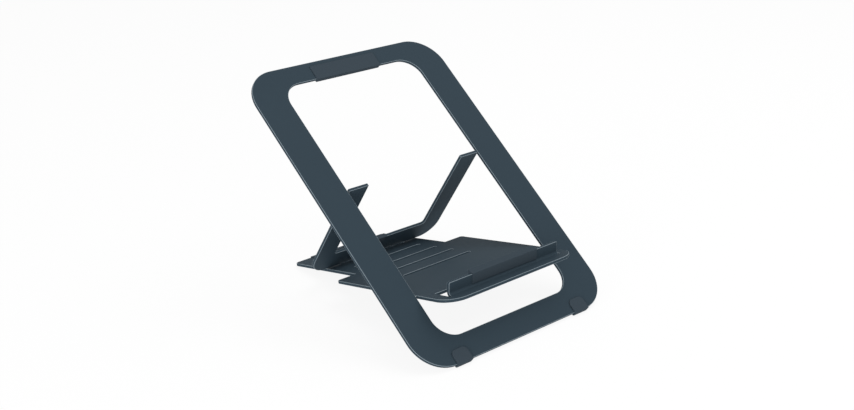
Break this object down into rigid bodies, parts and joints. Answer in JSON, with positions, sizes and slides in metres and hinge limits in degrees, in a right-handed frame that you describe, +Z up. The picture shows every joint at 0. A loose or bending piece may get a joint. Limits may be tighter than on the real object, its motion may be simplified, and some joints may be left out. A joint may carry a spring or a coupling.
{
  "type": "adjustable laptop stand",
  "caption": "Fold-flat metal laptop stand: leaning frame with a nested, hinged ledge plate and a U-shaped prop strut, soft pads and feet.",
  "frame": {"origin": "on the desk, under the middle of the stand's footprint", "axes": "+X to the user's right along the hinges, +Y from the user to the back, +Z up"},
  "size_m": [0.235, 0.2706, 0.211],
  "materials": {
    "slate_coat": "satin powder coat on aluminium sheet",
    "silicone": "matte silicone",
    "steel_pin": "plain ground pin"
  },
  "bodies": {
    "frame": {"ring": "slate_coat", "top_pad": "silicone", "clip_foot_left": "silicone", "clip_foot_right": "silicone", "plate_pin_left": "steel_pin", "plate_pin_right": "steel_pin", "strut_pin_left": "steel_pin", "strut_pin_right": "steel_pin"},
    "plate": {"base_plate": "slate_coat", "lip_sleeve": "silicone", "rear_strip": "silicone"},
    "strut": {"prop_strut": "slate_coat", "bar_bumper": "silicone"}
  },
  "joints": [
    {"name": "plate_fold", "type": "hinge", "parent": "frame", "child": "plate", "pos_m": [0, -0.07629, 0.04709], "axis": [1, 0, 0], "range_deg": [0, 48.8]},
    {"name": "strut_fold", "type": "hinge", "parent": "frame", "child": "strut", "pos_m": [0, 0.01624, 0.12032], "axis": [1, 0, 0], "range_deg": [0, 96.08]}
  ],
  "couplings": [
    {"joint": "strut_fold", "follows": "plate_fold", "ratio": 1.9689}
  ]
}
